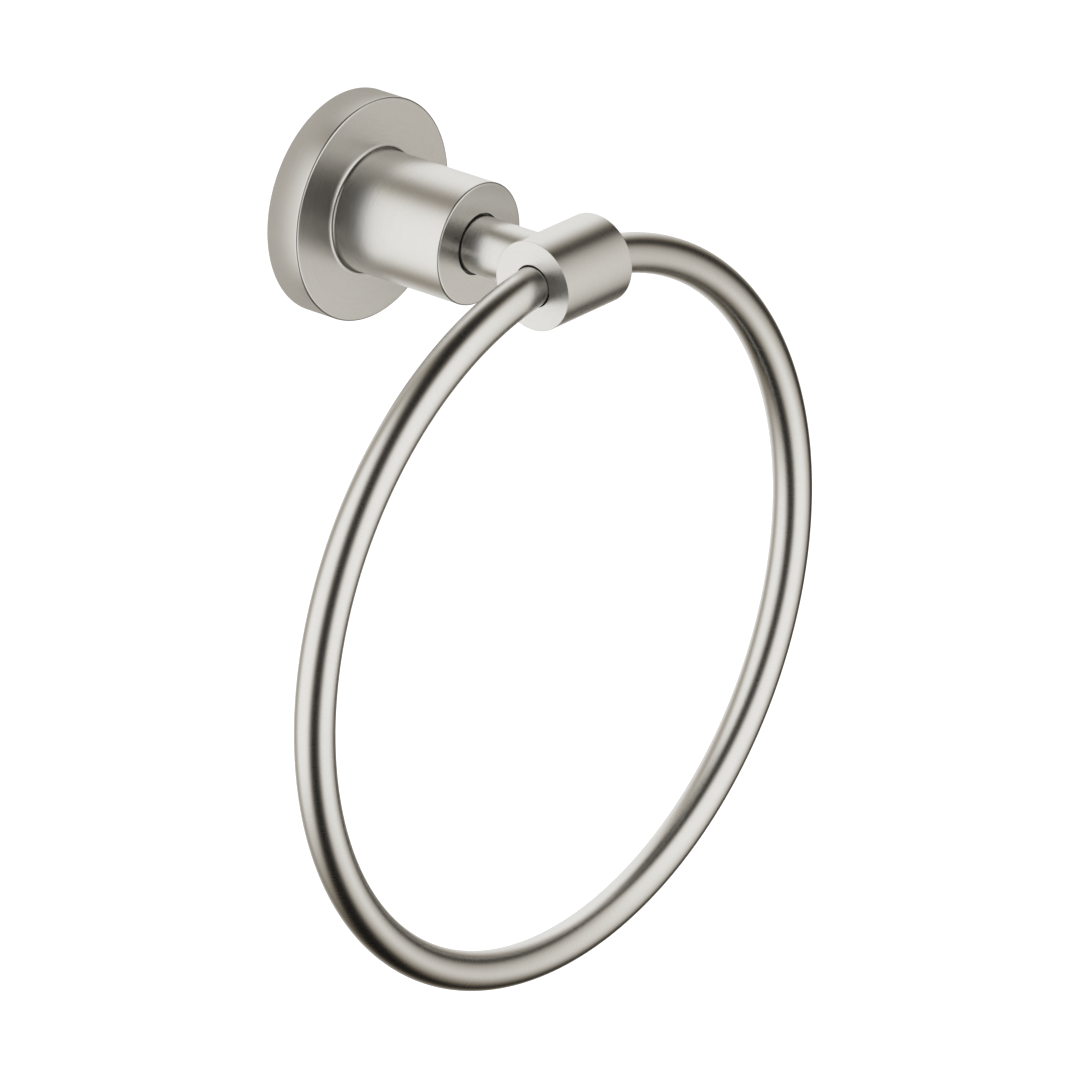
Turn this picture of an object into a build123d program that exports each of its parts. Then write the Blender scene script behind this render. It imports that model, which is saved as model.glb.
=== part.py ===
from build123d import *
import math
import os

# A towel ring for a bathroom wall. A round flange hides a bracket that is screwed to the wall. A turned post
# stands on the flange's neck, a thinner stem in the post, and a short cross barrel is brazed on the stem's end.
# The ring is one closed rod that passes through the barrel's bore and swings there.
#
# The origin is the centre of the flange's back. The wall is the plane y = 0, X runs along the wall, +Z is up and
# the fitting stands out along -Y. Lengths are in millimetres, and a reach is a distance from the wall.

# Ring
ring_inside_diameter = 164.55
rod_diameter = 9.52
ring_clearance = 0.17  # rod to barrel at their nearest, at every angle of the ring

# Barrel, with its axis along X
barrel_diameter = 21.6
barrel_length = 22.8
mouth_length = 1.0  # close-fitting length at each end of the bore

# Stem, from the post to the barrel
stem_diameter = 13.7
stem_length = 25.45  # from the post's face to the barrel's axis
stem_recess = 4.0  # depth of the seat in the post's face
stem_gap = 0.5  # shadow gap round the stem in its seat

# Post
post_diameter = 29.5
post_reach = 41.4

# Flange, a turned cup with its hollow to the wall
flange_diameter = 54.0
flange_thickness = 9.1
flange_rim = 3.5  # wall round the hollow
flange_web = 3.5  # wall between the hollow and the face
neck_round = 1.0  # hollow round where the face rises to the post
neck_land = 0.3  # straight length of that neck, from the round to the post

# Wall bracket in the hollow
bracket_slip = 0.2  # room round the bracket's rim
bracket_gap = 0.4  # room in front of the bracket
bracket_bevel = 1.2  # how far the rim slopes in towards the wall
wall_screw_hole_diameter = 4.5
wall_screw_head_diameter = 8.6

# Set screw through the underside of the flange's rim
set_screw_diameter = 3.0
set_screw_inset = 0.4  # how far its end lies below the rim
set_screw_socket = 1.5  # across the flats
set_screw_socket_depth = 1.5

# Screw that holds the post on the flange
post_screw_diameter = 6.0
post_screw_grip = 10.0  # length in the post
post_screw_head_diameter = 11.0
post_screw_head_height = 3.2
post_screw_socket = 4.0  # across the flats
post_screw_socket_depth = 2.0

# Stud that joins the stem to the post
stud_diameter = 8.0
stud_grip = 9.0  # length in the post
stem_end_wall = 6.0  # solid metal between the stud's hole and the barrel

# Brazed joint between stem and barrel
spigot_diameter = 8.4
spigot_floor = 1.0  # wall left between the spigot's end and the bore
braze_gap = 0.05

# Clearances and edges
thread_clearance = 0.05
screw_clearance = 0.3  # round a screw that passes through a plate
head_clearance = 1.2  # round a screw head
end_clearance = 0.5  # past a screw's end in its hole
edge_round = 0.5  # front edges of the flange and of the post
barrel_edge = 0.1  # rims of the barrel
bore_round = 0.15  # mouths of the ring's bore and of the stem's seat

# Worked out from the sizes above
rod_radius = rod_diameter / 2
ring_radius = ring_inside_diameter / 2 + rod_radius  # to the rod's centre line
mouth_start = barrel_length / 2 - mouth_length  # along X from the middle of the barrel
mouth_middle = (barrel_length - mouth_length) / 2
ring_centre_z = -math.sqrt(ring_radius**2 - mouth_middle**2)  # the rod's centre line crosses the axis in the mouths
rod_top = ring_centre_z + math.sqrt((ring_radius + rod_radius) ** 2 - mouth_start**2)  # where a mouth starts
rod_bottom = ring_centre_z + math.sqrt((ring_radius - rod_radius) ** 2 - (barrel_length / 2) ** 2)  # where it ends
mouth_radius = max(rod_top, -rod_bottom) + ring_clearance
bore_radius = ring_centre_z + ring_radius + rod_radius + ring_clearance  # room for the top of the rod's arc

post_seat = flange_thickness + neck_round + neck_land
hollow_depth = flange_thickness - flange_web
hollow_radius = flange_diameter / 2 - flange_rim
stem_seat = post_reach - stem_recess
barrel_reach = post_reach + stem_length
saddle_reach = barrel_reach - barrel_diameter / 2
spigot_end = barrel_reach - bore_radius - spigot_floor
stud_start = stem_seat - stud_grip
stud_end = saddle_reach - stem_end_wall - end_clearance

bracket_radius = hollow_radius - bracket_slip
bracket_thickness = hollow_depth - bracket_gap
bracket_hole_radius = post_screw_head_diameter / 2 + head_clearance
wall_screw_offset = (bracket_hole_radius + bracket_radius) / 2  # midway across the plate
countersink_depth = (wall_screw_head_diameter - wall_screw_hole_diameter) / 2
set_screw_reach = bracket_thickness / 2

WALL = Plane(origin=(0, 0, 0), x_dir=(1, 0, 0), z_dir=(0, -1, 0))
BARREL = Plane(origin=(0, -barrel_reach, 0), x_dir=(0, 1, 0), z_dir=(1, 0, 0))
STANDING = (Align.CENTER, Align.CENTER, Align.MIN)


def turned(radius, start, end):
    """A round bar on the fitting's axis between two reaches."""
    return WALL.offset(start) * Cylinder(radius, end - start, align=STANDING)


def cross_bar(radius, length):
    """A round bar on the barrel's axis."""
    return BARREL * Cylinder(radius, length)


def hex_socket(plane, across_flats, depth):
    """The hole of a hexagon key, cut from a plane against its normal."""
    return extrude(plane * RegularPolygon(across_flats / 2, 6, major_radius=False), -depth)


def circles_at(piece, reach):
    """The circles that a turned piece has at one reach, the smallest first."""
    circles = piece.edges().filter_by(GeomType.CIRCLE)
    return circles.filter_by(lambda circle: abs(circle.center().Y + reach) < 1e-6).sort_by(SortBy.RADIUS)


def make_wall_bracket():
    """A round plate whose rim slopes in towards the wall, so that the set screw draws the flange back."""
    plate = WALL * Cone(bracket_radius - bracket_bevel, bracket_radius, bracket_thickness, align=STANDING)
    plate -= turned(bracket_hole_radius, 0, bracket_thickness)
    for side in (-1, 1):
        place = Pos(side * wall_screw_offset, 0, 0)
        plate -= place * turned(wall_screw_hole_diameter / 2, 0, bracket_thickness)
        plate -= place * (
            WALL.offset(bracket_thickness - countersink_depth)
            * Cone(
                wall_screw_hole_diameter / 2,
                wall_screw_head_diameter / 2,
                countersink_depth,
                align=STANDING,
            )
        )
    return plate


def make_wall_flange():
    """A cup whose face rises to a neck for the post, with a hole for the post's screw and a tapped hole in its rim."""
    cup = turned(flange_diameter / 2, 0, flange_thickness)
    cup += turned(post_diameter / 2, flange_thickness, post_seat)
    cup -= turned(hollow_radius, 0, hollow_depth)
    cup = fillet(circles_at(cup, flange_thickness)[0], neck_round)
    cup = fillet(circles_at(cup, flange_thickness)[-1], edge_round)
    cup -= turned(post_screw_diameter / 2 + screw_clearance, hollow_depth, post_seat)
    tapped = Cylinder(set_screw_diameter / 2 + thread_clearance, flange_diameter / 2, align=STANDING)
    return cup - Pos(0, -set_screw_reach, -flange_diameter / 2) * tapped


def make_flange_set_screw():
    """A headless screw with a hexagon socket, which bears on the bracket's sloping rim."""
    bearing = set_screw_reach + set_screw_diameter / 2
    rim_there = bracket_radius - bracket_bevel * (1 - bearing / bracket_thickness)
    tip_z = -rim_there - thread_clearance
    end_z = -flange_diameter / 2 + set_screw_inset
    screw = Pos(0, -set_screw_reach, end_z) * Cylinder(set_screw_diameter / 2, tip_z - end_z, align=STANDING)
    outer_end = Plane(origin=(0, -set_screw_reach, end_z), x_dir=(1, 0, 0), z_dir=(0, 0, -1))
    return screw - hex_socket(outer_end, set_screw_socket, set_screw_socket_depth)


def make_post():
    """A solid bar with tapped holes at both ends and a seat for the stem in its face."""
    bar = turned(post_diameter / 2, post_seat, post_reach)
    bar -= turned(stem_diameter / 2 + stem_gap, stem_seat, post_reach)
    bar -= turned(stud_diameter / 2 + thread_clearance, stud_start - end_clearance, stem_seat)
    screw_end = post_seat + post_screw_grip
    bar -= turned(post_screw_diameter / 2 + thread_clearance, post_seat, screw_end + end_clearance)
    bar = fillet(circles_at(bar, post_reach)[0], bore_round)
    return fillet(circles_at(bar, post_reach)[-1], edge_round)


def make_post_screw():
    """A screw with its head in the flange's hollow and its shank in the post."""
    head_start = hollow_depth - post_screw_head_height
    screw = turned(post_screw_head_diameter / 2, head_start, hollow_depth)
    screw += turned(post_screw_diameter / 2, hollow_depth, post_seat + post_screw_grip)
    head_face = Plane(origin=(0, -head_start, 0), x_dir=(1, 0, 0), z_dir=(0, 1, 0))
    return screw - hex_socket(head_face, post_screw_socket, post_screw_socket_depth)


def make_stem_stud():
    """A plain length of threaded rod, half in the post and half in the stem."""
    return turned(stud_diameter / 2, stud_start, stud_end)


def make_stem():
    """A bar coped to the barrel's curve, with a spigot that is brazed into the barrel's wall."""
    bar = turned(stem_diameter / 2, stem_seat, barrel_reach)
    bar -= cross_bar(barrel_diameter / 2 + braze_gap, barrel_diameter)
    bar += turned(spigot_diameter / 2, saddle_reach - stem_end_wall / 2, spigot_end)
    return bar - turned(stud_diameter / 2 + thread_clearance, stem_seat, stud_end + end_clearance)


def make_barrel():
    """A short bar across the stem, bored wide along its middle and close at its mouths, with the spigot's hole."""
    bar = cross_bar(barrel_diameter / 2, barrel_length)
    bar -= cross_bar(mouth_radius, barrel_length)
    bar -= cross_bar(bore_radius, 2 * mouth_start)
    bar -= turned(spigot_diameter / 2 + braze_gap, stem_seat, spigot_end + braze_gap)
    for end in (0, -1):
        mouth = bar.edges().filter_by(GeomType.CIRCLE).group_by(Axis.X)[end].sort_by(SortBy.RADIUS)
        bar = fillet(mouth[0], bore_round)
        rim = bar.edges().filter_by(GeomType.CIRCLE).group_by(Axis.X)[end].sort_by(SortBy.RADIUS)
        bar = fillet(rim[-1], barrel_edge)
    return bar


def make_ring():
    """One rod bent to a full circle through the barrel, with its ends welded and dressed flush."""
    circle = Plane(origin=(0, -barrel_reach, ring_centre_z), x_dir=(1, 0, 0), z_dir=(0, -1, 0))
    return circle * Torus(ring_radius, rod_radius)


PIECES = {
    "wall_bracket": make_wall_bracket,
    "wall_flange": make_wall_flange,
    "flange_set_screw": make_flange_set_screw,
    "post": make_post,
    "post_screw": make_post_screw,
    "stem_stud": make_stem_stud,
    "stem": make_stem,
    "barrel": make_barrel,
    "ring": make_ring,
}

os.makedirs("parts", exist_ok=True)
for name, make in PIECES.items():
    piece = make()
    export_step(piece, f"parts/{name}.step")
    print(name, "volume", round(piece.volume, 1), "mm3")

print("ring hangs in mouths of radius", round(mouth_radius, 3), "mm at reach", round(barrel_reach, 3), "mm")
print("bore between the mouths has radius", round(bore_radius, 3), "mm, ring centre z", round(ring_centre_z, 3), "mm")
print("wall screws are", round(2 * wall_screw_offset, 3), "mm apart")
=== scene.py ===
# %% [markdown]
# # A towel ring in satin nickel
# A round flange hides a bracket on the bathroom wall. A post stands on the flange's neck, a thinner stem in
# the post, and a short barrel is brazed across the stem's end. The ring is one bent rod that swings in the
# barrel. The solid model says where everything is and how large it is, so we load it first and take our
# sizes from it.

# %% Load the solid model
import bmesh
import bpy
import numpy as np
from mathutils import Matrix, Vector


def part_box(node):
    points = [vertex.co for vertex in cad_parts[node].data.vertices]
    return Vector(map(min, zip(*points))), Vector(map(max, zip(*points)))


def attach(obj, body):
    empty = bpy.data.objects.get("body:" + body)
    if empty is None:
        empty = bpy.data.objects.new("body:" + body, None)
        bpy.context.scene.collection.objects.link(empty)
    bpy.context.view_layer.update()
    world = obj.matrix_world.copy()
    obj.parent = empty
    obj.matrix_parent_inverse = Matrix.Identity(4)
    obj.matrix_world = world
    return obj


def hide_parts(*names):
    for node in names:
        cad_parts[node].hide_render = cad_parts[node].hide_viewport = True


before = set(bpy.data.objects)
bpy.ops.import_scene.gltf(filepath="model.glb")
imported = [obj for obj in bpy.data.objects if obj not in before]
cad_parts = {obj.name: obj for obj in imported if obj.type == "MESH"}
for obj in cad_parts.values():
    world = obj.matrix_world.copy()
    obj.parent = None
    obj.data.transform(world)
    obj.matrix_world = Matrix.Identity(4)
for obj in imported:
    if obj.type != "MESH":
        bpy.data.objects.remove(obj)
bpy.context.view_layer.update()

MM = 0.001  # a millimetre, in Blender's metres
print("solid pieces:", ", ".join(sorted(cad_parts)))

# %% [markdown]
# ## A mesh from a grid of points
# Every piece that we make is turned on a lathe or bent from rod, so each is a grid: rows along its profile
# or its length, and columns round it. Blender could spin or sweep a curve for us, but a grid of our own
# also lets us store, for each point, how far it is along the profile and round the piece. A polishing belt
# leaves its fine lines in step with those two distances, so the metal's material will need them. They go
# into a UV map named brushing.

# %% The grid function


def grid_piece(name, points, wrap_rows=False):
    """A closed surface through a grid of points, rows by columns, in millimetres. Columns always close on
    themselves, and rows do where wrap_rows is set. A row that lies on the axis shrinks to one vertex. The
    UV map holds the distance along the rows in millimetres, and the share of a turn round the columns."""
    rows, columns = points.shape[:2]
    steps = rows if wrap_rows else rows - 1
    i, j = np.meshgrid(np.arange(steps), np.arange(columns), indexing="ij")
    row = np.stack([i, i + 1, i + 1, i], -1)
    column = np.stack([j, j, j + 1, j + 1], -1)
    quads = (row % rows) * columns + column % columns
    mesh = bpy.data.meshes.new(name)
    mesh.from_pydata(points.reshape(-1, 3) * MM, [], quads.reshape(-1, 4))

    gaps = np.linalg.norm(np.roll(points, -1, 0) - points, axis=-1).mean(1)
    along = np.concatenate([[0], np.cumsum(gaps)])
    uv = np.stack([along[row], column / columns], -1)
    mesh.uv_layers.new(name="brushing").data.foreach_set("uv", uv.ravel())

    merged = bmesh.new()
    merged.from_mesh(mesh)
    bmesh.ops.remove_doubles(merged, verts=merged.verts, dist=0.0001 * MM)
    merged.to_mesh(mesh)
    merged.free()
    piece = bpy.data.objects.new(name, mesh)
    bpy.context.scene.collection.objects.link(piece)
    return piece


# %% [markdown]
# ## Turned profiles
# A turner breaks the outer edges that show with a small round, and those rounds catch the light as thin
# bright lines, so they are in the mesh and not left to a bevel. A profile is a short list of corners: a
# height along the axis, a radius, and the size of the round. The function below puts a quarter circle in
# each rounded corner.

# %% Profile functions
ARC_STEPS = 8
GUARD = 0.06  # a row this close to each corner keeps the flat beside it flat under smooth shading


def profile(corners, closed=False):
    """Rows of (height, radius) through right-angled corners, each (height, radius, round). A corner's arc
    starts one round before it, on the run that comes in, and ends one round after it, on the run that goes
    out."""
    points = []
    for k, (height, radius, edge) in enumerate(corners):
        corner = np.array([height, radius])
        if not closed and k in (0, len(corners) - 1):
            points.append(corner[None])
            continue
        came = corner - corners[k - 1][:2]
        goes = corners[(k + 1) % len(corners)][:2] - corner
        came, goes = came / np.linalg.norm(came), goes / np.linalg.norm(goes)
        turn = np.linspace(0, np.pi / 2, ARC_STEPS + 1 if edge else 1)[:, None]
        arc = corner + edge * ((1 - np.cos(turn)) * goes - (1 - np.sin(turn)) * came)
        points += [arc[:1] - GUARD * came, arc, arc[-1:] + GUARD * goes]
    return np.concatenate(points)


def carried_round(height, radius, columns):
    """A profile carried round the fitting's axis: x = radius cos t, y = -height, z = radius sin t. Height and
    radius are one number a row, or a grid where they change on the way round."""
    t = np.linspace(0, 2 * np.pi, columns, endpoint=False)
    return np.stack(np.broadcast_arrays(radius * np.cos(t), -height, radius * np.sin(t)), -1)


def turned_points(corners, columns, closed=False):
    """The grid of a plain turned piece. Its outer wall runs from its far end back to the wall, so it
    faces out."""
    height, radius = profile(corners, closed).T[:, :, None]
    return carried_round(height, radius, columns)


# %% [markdown]
# ## Drilled holes
# Two turned pieces also have a hole drilled in from the side. A grid can't flow round such a hole by
# itself, so the drill is a small turned bar of its own, and a Boolean modifier takes its volume out of the
# piece.

# %% The drill


def drill(piece, bit):
    """Takes the bit's volume out of the piece, and throws the bit away."""
    cut = piece.modifiers.new("drill", "BOOLEAN")
    cut.object = bit
    cut.operation = "DIFFERENCE"
    cut.solver = "EXACT"
    graph = bpy.context.evaluated_depsgraph_get()
    solid = piece.data
    piece.data = bpy.data.meshes.new_from_object(piece.evaluated_get(graph))
    piece.modifiers.clear()
    piece.data.name = solid.name
    bpy.data.meshes.remove(solid)
    bpy.data.objects.remove(bit)


# %% [markdown]
# ## Fitting a piece to the solid model
# Each new mesh stands for one solid piece. It rides on that piece's body, so that it moves when the ring
# swings. Edges that turn sharply stay crisp, and the rest are shaded smooth.

# %% The fitting function
SHARP_ANGLE = np.radians(35)


def install(piece, stands_for, body):
    """Puts the piece in place of a solid node, on that body."""
    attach(piece, body)
    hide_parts(stands_for)
    piece.data.shade_smooth()
    piece.data.set_sharp_from_angle(angle=SHARP_ANGLE)
    solid = bmesh.new()
    solid.from_mesh(piece.data)
    open_edges = sum(not edge.is_manifold for edge in solid.edges)
    volume = solid.calc_volume(signed=True) / MM**3
    solid.free()
    print(f"{piece.name}: {len(piece.data.polygons)} faces, {open_edges} open edges, {volume:.0f} mm3")


def reach_of(node):
    """How near to the wall and how far from it a solid node lies, in millimetres."""
    low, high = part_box(node)
    return round(-high.y / MM, 2), round(-low.y / MM, 2)


def half_width_of(node):
    """Half of a solid node's width, in millimetres."""
    return round(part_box(node)[1].x / MM, 2)


# %% [markdown]
# ## The flange
# The flange is a cup, hollow towards the wall, where it covers the bracket. Its face rises to a short neck
# that the post stands on. The nose of the turning tool leaves a hollow round of a millimetre between face
# and neck, which mirrors the room in thin bright and dark lines. A hole in the middle lets the post's screw
# through.

# %% Make the flange
flange_radius = half_width_of("wall_flange")
post_radius = half_width_of("post")
post_back, post_front = reach_of("post")
edge_round = 0.5
neck_round = 1.0
neck_land = 0.3
flange_face = post_back - neck_land - neck_round
flange_wall = 3.5
hollow_radius = flange_radius - flange_wall
hollow_depth = flange_face - flange_wall
screw_hole_radius = 3.3
flange = grid_piece(
    "flange_cup",
    turned_points(
        [
            (post_back, screw_hole_radius, 0),
            (post_back, post_radius, 0),
            (flange_face, post_radius, neck_round),
            (flange_face, flange_radius, edge_round),
            (0, flange_radius, 0),
            (0, hollow_radius, 0),
            (hollow_depth, hollow_radius, 0),
            (hollow_depth, screw_hole_radius, 0),
        ],
        columns=256,
        closed=True,
    ),
    wrap_rows=True,
)

# %% [markdown]
# ## The grub screw's hole
# A small headless screw goes in from below, through the flange's rim, and presses on the bracket's sloping
# edge. It draws the flange tight to the wall, and no one sees it from the front. Its hole is drilled
# through the finished cup.

# %% Drill the grub screw's hole


def pointing_down(points, reach):
    """Turns a piece made on the fitting's axis to lie along Z at that reach: its height becomes a depth."""
    x, y, z = np.moveaxis(points, -1, 0)
    return np.stack([x, -reach - z, y], -1)


grub_reach = sum(reach_of("flange_set_screw")) / 2
grub_radius = half_width_of("flange_set_screw")
thread_room = 0.05
bit_overlap = 1  # how far a drill bit sticks out of the metal
grub_hole_radius = grub_radius + thread_room
grub_bit_corners = [
    (flange_radius + bit_overlap, 0, 0),
    (flange_radius + bit_overlap, grub_hole_radius, 0),
    (hollow_radius - bit_overlap, grub_hole_radius, 0),
    (hollow_radius - bit_overlap, 0, 0),
]
drill(flange, grid_piece("grub_bit", pointing_down(turned_points(grub_bit_corners, columns=48), grub_reach)))
install(flange, "wall_flange", "wall_mount")

# %% [markdown]
# ## The post
# A solid bar, tapped at both ends. The flange's screw comes in from the back. The stem stands in a deep
# seat in the front, and the narrow gap left round it shows as a thin black line.

# %% Make the post
stem_radius = half_width_of("stem")
stem_back, stem_end = reach_of("stem")
stem_gap = 0.5
seat_round = 0.15
stud_radius = 4.0
stud_hole_radius = stud_radius + thread_room
stud_hole_depth = 9.5
screw_radius = 3.0
screw_thread_radius = screw_radius + thread_room
screw_hole_depth = 10.5
post = grid_piece(
    "post_bar",
    turned_points(
        [
            (stem_back - stud_hole_depth, 0, 0),
            (stem_back - stud_hole_depth, stud_hole_radius, 0),
            (stem_back, stud_hole_radius, 0),
            (stem_back, stem_radius + stem_gap, 0),
            (post_front, stem_radius + stem_gap, seat_round),
            (post_front, post_radius, edge_round),
            (post_back, post_radius, 0),
            (post_back, screw_thread_radius, 0),
            (post_back + screw_hole_depth, screw_thread_radius, 0),
            (post_back + screw_hole_depth, 0, 0),
        ],
        columns=224,
    ),
)
install(post, "post", "wall_mount")

# %% [markdown]
# ## The stem
# The stem's end is coped: cut to the barrel's curve, so that it sits on the barrel like a saddle, and a
# thin spigot goes on into the barrel's wall, where it is brazed. Round the stem, the saddle's height
# changes, so here the rows of the grid hold a height for each column.

# %% Make the stem
barrel_half = half_width_of("barrel")
barrel_back, barrel_front = reach_of("barrel")
barrel_reach = (barrel_back + barrel_front) / 2
barrel_radius = (barrel_front - barrel_back) / 2
braze_gap = 0.05
spigot_radius = 4.2
stud_end_room = 0.5
stem_hole_end = reach_of("stem_stud")[1] + stud_end_room
stem_columns = 160
stem_turn = np.linspace(0, 2 * np.pi, stem_columns, endpoint=False)


def saddle(radius):
    """Reach of the barrel's curve, less the braze, on a circle round the stem: the barrel's reach less the
    root of its radius squared less the height squared."""
    return barrel_reach - np.sqrt((barrel_radius + braze_gap) ** 2 - (radius * np.sin(stem_turn)) ** 2)


saddle_rows = 6
saddle_radii = np.linspace(spigot_radius, stem_radius, saddle_rows)
stem_rows = [
    (stem_end, 0),
    (stem_end, spigot_radius),
    *[(saddle(radius), radius) for radius in saddle_radii],
    (saddle(stem_radius) - GUARD, stem_radius),
    (stem_back, stem_radius),
    (stem_back, stud_hole_radius),
    (stem_hole_end, stud_hole_radius),
    (stem_hole_end, 0),
]
stem_height = np.array([height + 0 * stem_turn for height, radius in stem_rows])
stem_across = np.array([radius + 0 * stem_turn for height, radius in stem_rows])
stem = grid_piece("stem_bar", carried_round(stem_height, stem_across, stem_columns))
install(stem, "stem", "wall_mount")

# %% [markdown]
# ## The barrel
# A short bar across the stem's end, bored along its length for the ring. The rod is curved, so it rises in
# the middle of the bore. The bore is wider there, and close round the rod only at its two mouths, so that
# the gap that shows is a thin even line.

# %% Make the barrel
ring_back, ring_front = reach_of("ring")
rod_radius = (ring_front - ring_back) / 2
ring_radius = half_width_of("ring") - rod_radius
ring_clearance = 0.17
barrel_edge = 0.1
mouth_length = 1.0
mouth_start = barrel_half - mouth_length
ring_centre = -np.sqrt(ring_radius**2 - (barrel_half - mouth_length / 2) ** 2)
rod_bottom = ring_centre + np.sqrt((ring_radius - rod_radius) ** 2 - barrel_half**2)
mouth_radius = ring_clearance - rod_bottom
bore_radius = ring_centre + ring_radius + rod_radius + ring_clearance


def lying_across(points):
    """Turns a piece made on the fitting's axis to lie along X on the barrel's axis: its height becomes x."""
    x, y, z = np.moveaxis(points, -1, 0)
    return np.stack([-y, x - barrel_reach, z], -1)


barrel_corners = [
    (barrel_half, mouth_radius, seat_round),
    (barrel_half, barrel_radius, barrel_edge),
    (-barrel_half, barrel_radius, barrel_edge),
    (-barrel_half, mouth_radius, seat_round),
    (-mouth_start, mouth_radius, 0),
    (-mouth_start, bore_radius, 0),
    (mouth_start, bore_radius, 0),
    (mouth_start, mouth_radius, 0),
]
barrel = grid_piece(
    "cross_barrel",
    lying_across(turned_points(barrel_corners, columns=192, closed=True)),
    wrap_rows=True,
)
spigot_hole_radius = spigot_radius + braze_gap
spigot_bit_corners = [
    (stem_end + braze_gap, 0, 0),
    (stem_end + braze_gap, spigot_hole_radius, 0),
    (barrel_back - bit_overlap, spigot_hole_radius, 0),
    (barrel_back - bit_overlap, 0, 0),
]
drill(barrel, grid_piece("spigot_bit", turned_points(spigot_bit_corners, columns=96)))
install(barrel, "barrel", "wall_mount")

# %% [markdown]
# ## The ring
# One rod, bent to a circle and welded, with the weld dressed flush. It is a torus: a small circle, the
# rod's section, carried round a large one. The grid starts at the top, so that the seam of the UV map hides
# in the bore.

# %% Make the ring
ring_rows = 400
rod_columns = 72
sections = np.linspace(0, 2 * np.pi, ring_rows, endpoint=False)[:, None]
section_turn = np.linspace(0, 2 * np.pi, rod_columns, endpoint=False)
from_centre = ring_radius + rod_radius * np.cos(section_turn)
ring_x = from_centre * np.sin(sections)
ring_y = rod_radius * np.sin(section_turn) - barrel_reach
ring_z = from_centre * np.cos(sections) + ring_centre
ring = grid_piece("ring_rod", np.stack(np.broadcast_arrays(ring_x, ring_y, ring_z), -1), wrap_rows=True)
install(ring, "ring", "hanging_ring")
solid_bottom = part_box("ring")[0].z / MM
ring_bottom = ring_centre - ring_radius - rod_radius
print(f"the ring hangs to {ring_bottom:.2f} mm, and its solid to {solid_bottom:.2f} mm")

# %% [markdown]
# ## Screw threads
# The screws and the stud have real threads. A thread is a turned bar whose radius dips in a groove that
# moves along the bar by one pitch in each turn, so its radius is a function of height and turn.

# %% Thread and socket functions
THREAD_ROWS = 10  # in each pitch
THREAD_DEPTH = 0.61  # of a pitch
END_BEVEL = 0.8  # of the thread's depth
CREST_FLAT = 0.125  # of half a pitch
ROOT_FLAT = 0.25  # of half a pitch
screw_columns = 72
screw_turn = np.linspace(0, 2 * np.pi, screw_columns, endpoint=False)


def thread(far, near, radius, pitch):
    """Rows of a thread from its far end to its near end. The groove's share is a triangle wave of the height
    in pitches less the share of a turn, cut flat at crest and root, and it runs out over one pitch at both
    ends."""
    height = np.linspace(far, near, int(THREAD_ROWS * (far - near) / pitch))[:, None]
    wave = np.abs(2 * ((height / pitch - screw_turn / (2 * np.pi)) % 1) - 1)
    groove = np.clip((wave - CREST_FLAT) / (1 - CREST_FLAT - ROOT_FLAT), 0, 1)
    run_out = np.clip(np.minimum(far - height, height - near) / pitch, 0, 1)
    depth = THREAD_DEPTH * pitch
    crest = np.minimum(radius, radius - depth * END_BEVEL + np.minimum(far - height, height - near))
    rows = np.minimum(crest, radius - depth * groove * run_out)
    return [(h, r) for h, r in zip(height, rows)]


def hexagon(across_flats):
    """Radius of a hexagon by turn: half the width across flats over the cosine of the angle to the
    nearest flat."""
    from_flat = (screw_turn + np.pi / 6) % (np.pi / 3) - np.pi / 6
    return across_flats / 2 / np.cos(from_flat)


def screw_points(rows):
    """The grid of a screw from rows of (height, radius), where either may change on the way round."""
    height = np.array([h + 0 * screw_turn for h, r in rows])
    radius = np.array([r + 0 * screw_turn for h, r in rows])
    return carried_round(height, radius, screw_columns)


# %% [markdown]
# ## The post's screw
# It comes from the flange's hollow and pulls the post against the neck. Its low round head has a socket for
# a hexagon key.

# %% Make the post's screw
head_round = 0.5
head_back, screw_tip = reach_of("post_screw")
head_radius = half_width_of("post_screw")
head_socket = hexagon(across_flats=4.0)
head_socket_depth = 2.0
socket_rim_radius = 2.6
head_rows = profile(
    [
        (hollow_depth, screw_thread_radius, 0),
        (hollow_depth, head_radius, 0),
        (head_back, head_radius, head_round),
        (head_back, socket_rim_radius, 0),
    ]
)
post_screw = grid_piece(
    "post_cap_screw",
    screw_points(
        [
            (screw_tip, 0),
            *thread(screw_tip, hollow_depth, screw_radius, pitch=1.0),
            *head_rows,
            (head_back, head_socket),
            (head_back + head_socket_depth, head_socket),
            (head_back + head_socket_depth, 0),
        ]
    ),
)
install(post_screw, "post_screw", "wall_mount")

# %% [markdown]
# ## The stud and the grub screw
# The stud is a length of threaded rod, partly in the post and partly in the stem. The grub screw has no
# head: its socket is sunk in its own end.

# %% Make the stud and the grub screw
stud_back, stud_front = reach_of("stem_stud")
stud = grid_piece(
    "stem_stud_thread",
    screw_points([(stud_front, 0), *thread(stud_front, stud_back, stud_radius, pitch=1.25), (stud_back, 0)]),
)
install(stud, "stem_stud", "wall_mount")

grub_low, grub_high = (-corner.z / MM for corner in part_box("flange_set_screw"))
grub_socket = hexagon(across_flats=1.5)
grub_socket_depth = 1.5
grub = grid_piece(
    "flange_grub_screw",
    pointing_down(
        screw_points(
            [
                (grub_low - grub_socket_depth, 0),
                (grub_low - grub_socket_depth, grub_socket),
                (grub_low, grub_socket),
                *thread(grub_low, grub_high, grub_radius, pitch=0.5),
                (grub_high, 0),
            ]
        ),
        grub_reach,
    ),
)
install(grub, "flange_set_screw", "wall_mount")

# %% [markdown]
# ## Building materials from nodes
# A Blender material is a graph of small nodes. Building such a graph takes many repeated lines, so four
# helpers do it for us: one adds a node and connects its inputs, one adds a sum or a product, one carries a
# value from one range to another, and one blends two colours.

# %% Node helpers


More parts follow.
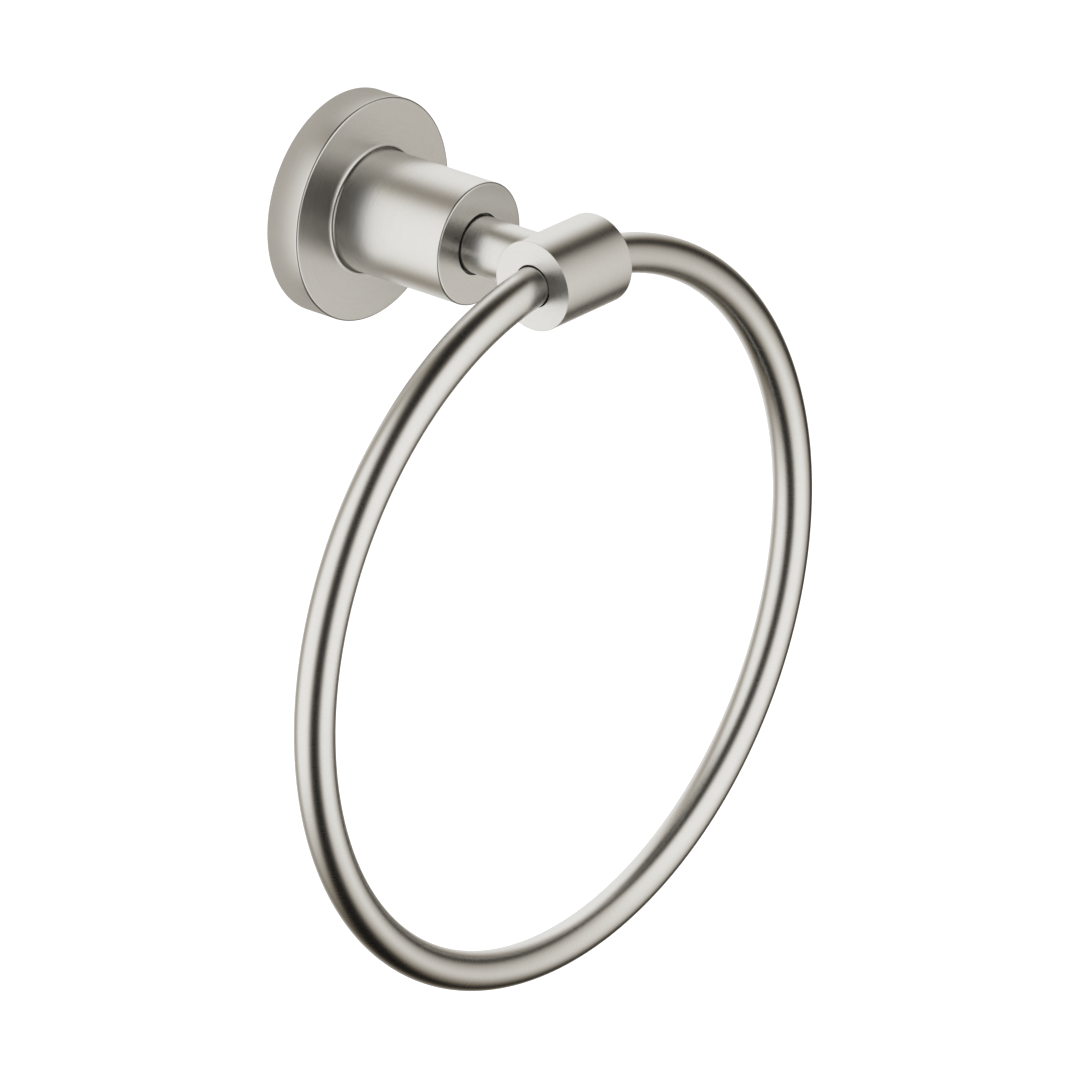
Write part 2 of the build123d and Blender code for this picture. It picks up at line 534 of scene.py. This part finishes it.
def node(tree, kind, inputs=(), **settings):
    """Adds a node. Inputs pairs a socket's name or number with a value, or with another node's output."""
    made = tree.nodes.new(kind)
    for name, value in settings.items():
        setattr(made, name, value)
    for name, value in dict(inputs).items():
        if isinstance(value, bpy.types.NodeSocket):
            tree.links.new(value, made.inputs[name])
        else:
            made.inputs[name].default_value = value
    return made


def maths(tree, operation, *values):
    """A sum, product or other function of numbers or sockets."""
    return node(tree, "ShaderNodeMath", enumerate(values), operation=operation).outputs[0]


def spread(tree, value, low, high, to_low=0.0, to_high=1.0, way="LINEAR"):
    """Carries a value from one range to another, and stops at its ends."""
    sockets = {"Value": value, "From Min": low, "From Max": high, "To Min": to_low, "To Max": to_high}
    return node(tree, "ShaderNodeMapRange", sockets, interpolation_type=way).outputs["Result"]


def blend(tree, share, first, second):
    """A colour that goes from the first to the second as the share goes from nought to one."""
    ramp = node(tree, "ShaderNodeValToRGB", {"Fac": share})
    ramp.color_ramp.elements[0].color = (*first, 1)
    ramp.color_ramp.elements[1].color = (*second, 1)
    return ramp.outputs["Color"]


# %% [markdown]
# ## Belt lines
# Satin metal is drawn across a fine belt, or turned against one, and each grain of the belt leaves a
# hair-thin line. The lines run round a turned piece and round the section of a bent rod. The group below
# makes them as noise that changes quickly along the profile and slowly round the piece. To close on itself
# after a full turn, the noise is read on a circle. A wider, fainter noise stands for the uneven pressure of
# the belt.

# %% The belt lines group
belt_lines = bpy.data.node_groups.new("belt_lines", "ShaderNodeTree")
for socket, kind in (("Brushing", "Vector"), ("Line Width", "Float"), ("Strokes", "Float")):
    belt_lines.interface.new_socket(socket, in_out="INPUT", socket_type="NodeSocket" + kind)
for socket in ("Lines", "Streaks"):
    belt_lines.interface.new_socket(socket, in_out="OUTPUT", socket_type="NodeSocketFloat")
given = node(belt_lines, "NodeGroupInput").outputs
parts = node(belt_lines, "ShaderNodeSeparateXYZ", {0: given["Brushing"]}).outputs
angle = maths(belt_lines, "MULTIPLY", parts["Y"], 2 * np.pi)
round_size = maths(belt_lines, "DIVIDE", given["Strokes"], 2 * np.pi)
round_x = maths(belt_lines, "MULTIPLY", maths(belt_lines, "COSINE", angle), round_size)
round_y = maths(belt_lines, "MULTIPLY", maths(belt_lines, "SINE", angle), round_size)
across_lines = maths(belt_lines, "DIVIDE", parts["X"], given["Line Width"])
NOISE_LOW, NOISE_HIGH = 0.3, 0.7  # most of the noise lies between these


def line_noise(width_factor, detail):
    """Noise that changes quickly across the lines and slowly along them."""
    across = maths(belt_lines, "DIVIDE", across_lines, width_factor)
    place = node(belt_lines, "ShaderNodeCombineXYZ", {0: across, 1: round_x, 2: round_y}).outputs[0]
    noise = node(belt_lines, "ShaderNodeTexNoise", {"Vector": place, "Scale": 1.0, "Detail": detail})
    return spread(belt_lines, noise.outputs[0], NOISE_LOW, NOISE_HIGH)


fine_lines = line_noise(width_factor=1, detail=2.0)
wide_streaks = line_noise(width_factor=9, detail=1.0)
node(belt_lines, "NodeGroupOutput", {"Lines": fine_lines, "Streaks": wide_streaks})
print("belt_lines gives", ", ".join(s.name for s in belt_lines.interface.items_tree if s.in_out == "OUTPUT"))

# %% [markdown]
# ## Satin nickel
# The five pieces that show are brass with a plate of nickel, brushed satin: a pale, slightly warm grey. The
# lines change the roughness a little, tilt the surface by a hair, and where the belt pressed harder the
# plate is a shade lighter.

# %% Satin nickel


def metal(name):
    """A new material that is all metal. Returns it with its node tree and its shader."""
    made = bpy.data.materials.new(name)
    made.use_nodes = True
    shader = made.node_tree.nodes["Principled BSDF"]
    shader.inputs["Metallic"].default_value = 1.0
    return made, made.node_tree, shader


def brushed(tree, width, strokes):
    """Belt lines on the piece's own brushing map, with lines of that width in millimetres."""
    place = node(tree, "ShaderNodeUVMap", uv_map="brushing").outputs[0]
    sockets = {"Brushing": place, "Line Width": width, "Strokes": strokes}
    return node(tree, "ShaderNodeGroup", sockets, node_tree=belt_lines).outputs


def bumped(tree, shader, height, depth):
    """Tilts the surface by a height map whose full range is that many millimetres deep."""
    bump = node(tree, "ShaderNodeBump", {"Height": height, "Distance": depth * MM, "Strength": 1.0})
    tree.links.new(bump.outputs[0], shader.inputs["Normal"])


nickel, tree, shader = metal("satin_nickel_finish")
shader.inputs["Specular Tint"].default_value = (0.88, 0.88, 0.88, 1)
lines, streaks = brushed(tree, width=0.2, strokes=7)
tree.links.new(spread(tree, lines, 0, 1, 0.272, 0.288), shader.inputs["Roughness"])
tree.links.new(blend(tree, streaks, (0.78, 0.77, 0.742), (0.79, 0.78, 0.752)), shader.inputs["Base Color"])
bumped(tree, shader, lines, 0.0001)
for piece in (flange, post, stem, barrel, ring):
    piece.data.materials.append(nickel)
print(nickel.name, "is on the five pieces that show")

# %% [markdown]
# ## Stainless screws
# The screws are plain stainless steel, a cooler and darker grey, with the coarser marks of the machine that
# turned and rolled them.

# %% Stainless steel
stainless, tree, shader = metal("stainless_screw_finish")
lines, streaks = brushed(tree, width=0.12, strokes=4)
tree.links.new(spread(tree, lines, 0, 1, 0.24, 0.42), shader.inputs["Roughness"])
tree.links.new(blend(tree, streaks, (0.46, 0.46, 0.455), (0.58, 0.58, 0.575)), shader.inputs["Base Color"])
bumped(tree, shader, lines, 0.002)
for piece in (post_screw, stud, grub):
    piece.data.materials.append(stainless)
print(stainless.name, "is on the two screws and the stud")

# %% [markdown]
# ## Zinc plate
# The bracket is stamped from sheet steel and barrel-plated with zinc, which leaves a pale bluish grey with
# soft patches and a fine grain. No one sees it once it is on the wall, so its solid shape is kept as it is,
# and the finish reads the object's own coordinates.

# %% Zinc plate
zinc, tree, shader = metal("zinc_plate_finish")
place = node(tree, "ShaderNodeTexCoord").outputs["Object"]
patches = node(tree, "ShaderNodeTexNoise", {"Vector": place, "Scale": 160.0, "Detail": 3.0}).outputs[0]
grain = node(tree, "ShaderNodeTexNoise", {"Vector": place, "Scale": 2600.0, "Detail": 2.0}).outputs[0]
patches = spread(tree, patches, 0.35, 0.65)
tree.links.new(blend(tree, patches, (0.54, 0.555, 0.575), (0.66, 0.67, 0.68)), shader.inputs["Base Color"])
tree.links.new(spread(tree, patches, 0, 1, 0.42, 0.3), shader.inputs["Roughness"])
bumped(tree, shader, grain, 0.01)
bracket = bpy.data.objects["wall_bracket"]
bracket.data.materials.clear()
bracket.data.materials.append(zinc)
print(bracket.name, "keeps its solid shape and has", zinc.name)

# %% [markdown]
# ## The camera
# The camera was found by fitting the outlines of flange, post, barrel and ring to the photo. It is a long
# lens two metres away, turned fifty degrees to the left of the fitting's axis and raised twenty-four.

# %% Camera
view_azimuth = np.radians(-50.377)
view_elevation = np.radians(24.3295)
view_roll = np.radians(0.5192)
view_target = np.array([-5.497, -64.934, -66.092])
view_distance = 2016.863
ground = np.array([np.sin(view_azimuth), -np.cos(view_azimuth), 0])
back = ground * np.cos(view_elevation) + np.array([0, 0, np.sin(view_elevation)])
level = np.array([np.cos(view_azimuth), np.sin(view_azimuth), 0])
right = level * np.cos(view_roll) + np.cross(back, level) * np.sin(view_roll)
camera = bpy.data.objects.new("photo_camera", bpy.data.cameras.new("photo_camera"))
camera.data.lens = 290
camera.data.sensor_width = 36
camera.data.clip_end = 20
turned_to_view = Matrix([right, np.cross(back, right), back]).transposed().to_4x4()
camera.matrix_world = Matrix.Translation(Vector((view_target + back * view_distance) * MM)) @ turned_to_view
scene = bpy.context.scene
scene.collection.objects.link(camera)
scene.camera = camera
print("camera at", [round(v, 3) for v in camera.matrix_world.translation])

# %% [markdown]
# ## The light
# Bright metal shows what stands round it, so its light is a set to look at. Here it is a white tent, a
# sphere round the fitting that glows inside. Only reflections show it. It has two dark gaps: one on the
# left, where the camera looks in, and one on the right, into which the front of the tent fades. It is dim
# behind the fitting, and ends above and below. Its shade is warm. A tent is near, so each part of the ring
# sees the gaps at a slightly different angle.

# %% The tent
scene.view_settings.view_transform = "Standard"
tent_centre = np.array([0, -65, -60]) * MM
tent_radius = 650 * MM
sphere = bmesh.new()
bmesh.ops.create_uvsphere(
    sphere,
    u_segments=96,
    v_segments=48,
    radius=tent_radius,
    matrix=Matrix.Translation(tent_centre),
)
tent = bpy.data.objects.new("white_tent", bpy.data.meshes.new("white_tent"))
sphere.to_mesh(tent.data)
sphere.free()
scene.collection.objects.link(tent)


def shown_only_to(thing, *rays):
    """Leaves a thing visible to these kinds of ray and to no others."""
    for ray in ("camera", "diffuse", "glossy", "transmission", "volume_scatter", "shadow"):
        setattr(thing, "visible_" + ray, ray in rays)


def glowing(name):
    """A new material with no shader yet. Returns it with its node tree."""
    made = bpy.data.materials.new(name)
    made.use_nodes = True
    made.node_tree.nodes.remove(made.node_tree.nodes["Principled BSDF"])
    return made, made.node_tree


shown_only_to(tent, "glossy")
tent_cloth, tree = glowing("tent_cloth")
tent.data.materials.append(tent_cloth)
place = node(tree, "ShaderNodeTexCoord").outputs["Object"]
outwards = node(tree, "ShaderNodeVectorMath", {0: place, 1: tent_centre}, operation="SUBTRACT").outputs[0]
direction = node(tree, "ShaderNodeVectorMath", {0: outwards}, operation="NORMALIZE").outputs[0]
x, y, z = node(tree, "ShaderNodeSeparateXYZ", {0: direction}).outputs
turn = maths(tree, "ARCTAN2", x, maths(tree, "MULTIPLY", y, -1.0))
rise = maths(tree, "ARCSINE", z)
print(f"{tent.name} has {len(tent.data.polygons)} faces, {tent_radius:.2f} m from its centre")

# %% [markdown]
# ## The tent's brightness
# The cloth's brightness is a product of soft fades, each by an angle: the turn from the fitting's front,
# and the rise above the level.

# %% Paint the tent


def fade(value, start, end, to_start=0.0, to_end=1.0):
    """A soft change of the tent's brightness between two angles, in degrees."""
    return spread(tree, value, np.radians(start), np.radians(end), to_start, to_end, "SMOOTHSTEP")


def turned_from(centre):
    """How far a direction is turned from a centre in degrees, to either side."""
    apart = maths(tree, "SUBTRACT", turn, np.radians(centre))
    return maths(tree, "ABSOLUTE", maths(tree, "WRAP", apart, np.pi, -np.pi))


def leaning(slope):
    """The turn plus a share of the rise, for an edge that leans."""
    return maths(tree, "MULTIPLY_ADD", rise, slope, turn)


def product(*values):
    """All the values multiplied."""
    result = values[0]
    for value in values[1:]:
        result = maths(tree, "MULTIPLY", result, value)
    return result


left_gap = fade(product(turned_from(-56), maths(tree, "COSINE", rise)), 12, 34)
front = fade(leaning(0.07), 76, 21, 0.0, 0.62)
side_sheet = fade(leaning(0.07), 75, 62, 0.0, 0.38)
right_gap = maths(tree, "MAXIMUM", maths(tree, "ADD", front, side_sheet), fade(leaning(0.15), 87, 130))
behind = fade(turned_from(189), 0, 36, 0.39, 1.0)
red = product(left_gap, right_gap, behind, fade(rise, 44, 74, 1.0, 0.0), fade(rise, -29, -80, 1.0, 0.0))
green = maths(tree, "POWER", red, 1.09)  # the powers make the dimmer cloth warmer
blue = maths(tree, "POWER", red, 1.25)
colour = node(tree, "ShaderNodeCombineColor", {"Red": red, "Green": green, "Blue": blue}).outputs[0]
glow = node(tree, "ShaderNodeEmission", {"Color": colour}).outputs[0]
tree.links.new(glow, tree.nodes["Material Output"].inputs["Surface"])
print(tent_cloth.name, "has gaps on the left and on the right of the fitting's front")

# %% [markdown]
# ## The background
# The camera sees plain white behind the fitting, and so does anything that mirrors the room beyond the
# tent. The floor gets half of that light.

# %% The world
world = bpy.data.worlds.new("white_room")
scene.world = world
world.use_nodes = True
tree = world.node_tree
light_path = node(tree, "ShaderNodeLightPath").outputs
mirrored = maths(tree, "MAXIMUM", light_path["Is Glossy Ray"], light_path["Is Transmission Ray"])
plain = maths(tree, "MAXIMUM", light_path["Is Camera Ray"], mirrored)
background = tree.nodes["Background"]
background.inputs["Color"].default_value = (1, 1, 1, 1)
tree.links.new(spread(tree, plain, 0, 1, 0.5, 1.0), background.inputs["Strength"])
print(world.name, "is white to the camera")

# %% [markdown]
# ## A grey card on the wall
# The flange's rim stands so close to the wall that it mirrors only the wall beside it, which lies in the
# flange's shade. A small grey card stands for that shade. It fades out a little way from the rim, and only
# the metal sees it, from the front.

# %% The wall card


def flat_sheet(name, corners):
    """A flat four-cornered sheet, with its corners in millimetres."""
    mesh = bpy.data.meshes.new(name)
    mesh.from_pydata(np.array(corners) * MM, [], [(0, 1, 2, 3)])
    sheet = bpy.data.objects.new(name, mesh)
    scene.collection.objects.link(sheet)
    return sheet


SQUARE = np.array([(-1, -1), (1, -1), (1, 1), (-1, 1)])
card_half = 45
card_gap = 0.2  # behind the wall's plane
fade_start, fade_end = 30, 43
card = flat_sheet("wall_card", [(x, card_gap, z) for x, z in card_half * SQUARE])
shown_only_to(card, "glossy")
card_paint, tree = glowing("wall_shade")
place = node(tree, "ShaderNodeTexCoord").outputs["Object"]
from_axis = node(tree, "ShaderNodeVectorMath", {0: place}, operation="LENGTH").outputs["Value"]
cover = spread(tree, from_axis, fade_start * MM, fade_end * MM, 1.0, 0.0, "SMOOTHSTEP")
facing = maths(tree, "SUBTRACT", 1.0, node(tree, "ShaderNodeNewGeometry").outputs["Backfacing"])
grey = node(tree, "ShaderNodeEmission", {"Color": (0.49, 0.464, 0.425, 1)}).outputs[0]
clear = node(tree, "ShaderNodeBsdfTransparent").outputs[0]
sockets = {0: maths(tree, "MULTIPLY", cover, facing), 1: clear, 2: grey}
card_look = node(tree, "ShaderNodeMixShader", sockets).outputs[0]
tree.links.new(card_look, tree.nodes["Material Output"].inputs["Surface"])
card.data.materials.append(card_paint)
print(f"{card.name} fades out between {fade_start} and {fade_end} mm from the fitting's axis")

# %% [markdown]
# ## The floor
# A pale floor lies 0.6 m below the fitting's axis, under one large soft lamp, and takes the fitting's
# shadow. The camera sees it brighter than the lamp makes it, so that it meets the white background without
# an edge. The metal looks through it at the tent, and a camera below looks through it at the fitting.

# %% Floor and lamp
floor_level = -600
floor_half = 6000
floor_glow = 0.62
floor = flat_sheet("floor", [(x, y, floor_level) for x, y in floor_half * SQUARE])
shown_only_to(floor, "camera", "diffuse")
floor_paint = bpy.data.materials.new("pale_floor")
floor_paint.use_nodes = True
tree = floor_paint.node_tree
shader = tree.nodes["Principled BSDF"]
shader.inputs["Base Color"].default_value = (0.86, 0.86, 0.86, 1)
shader.inputs["Roughness"].default_value = 0.9
shader.inputs["Emission Color"].default_value = (1, 1, 1, 1)
camera_ray = node(tree, "ShaderNodeLightPath").outputs["Is Camera Ray"]
tree.links.new(maths(tree, "MULTIPLY", camera_ray, floor_glow), shader.inputs["Emission Strength"])
from_below = node(tree, "ShaderNodeNewGeometry").outputs["Backfacing"]
clear = node(tree, "ShaderNodeBsdfTransparent").outputs[0]
sockets = {0: from_below, 1: shader.outputs[0], 2: clear}
floor_look = node(tree, "ShaderNodeMixShader", sockets).outputs[0]
tree.links.new(floor_look, tree.nodes["Material Output"].inputs["Surface"])
floor.data.materials.append(floor_paint)

lamp = bpy.data.objects.new("soft_lamp", bpy.data.lights.new("soft_lamp", "AREA"))
lamp.data.size = 0.8
lamp.data.energy = 12
lamp.location = (0, -0.065, 1.2)
lamp.visible_glossy = False
scene.collection.objects.link(lamp)
print(floor.name, "at", floor_level, "mm under", lamp.name)
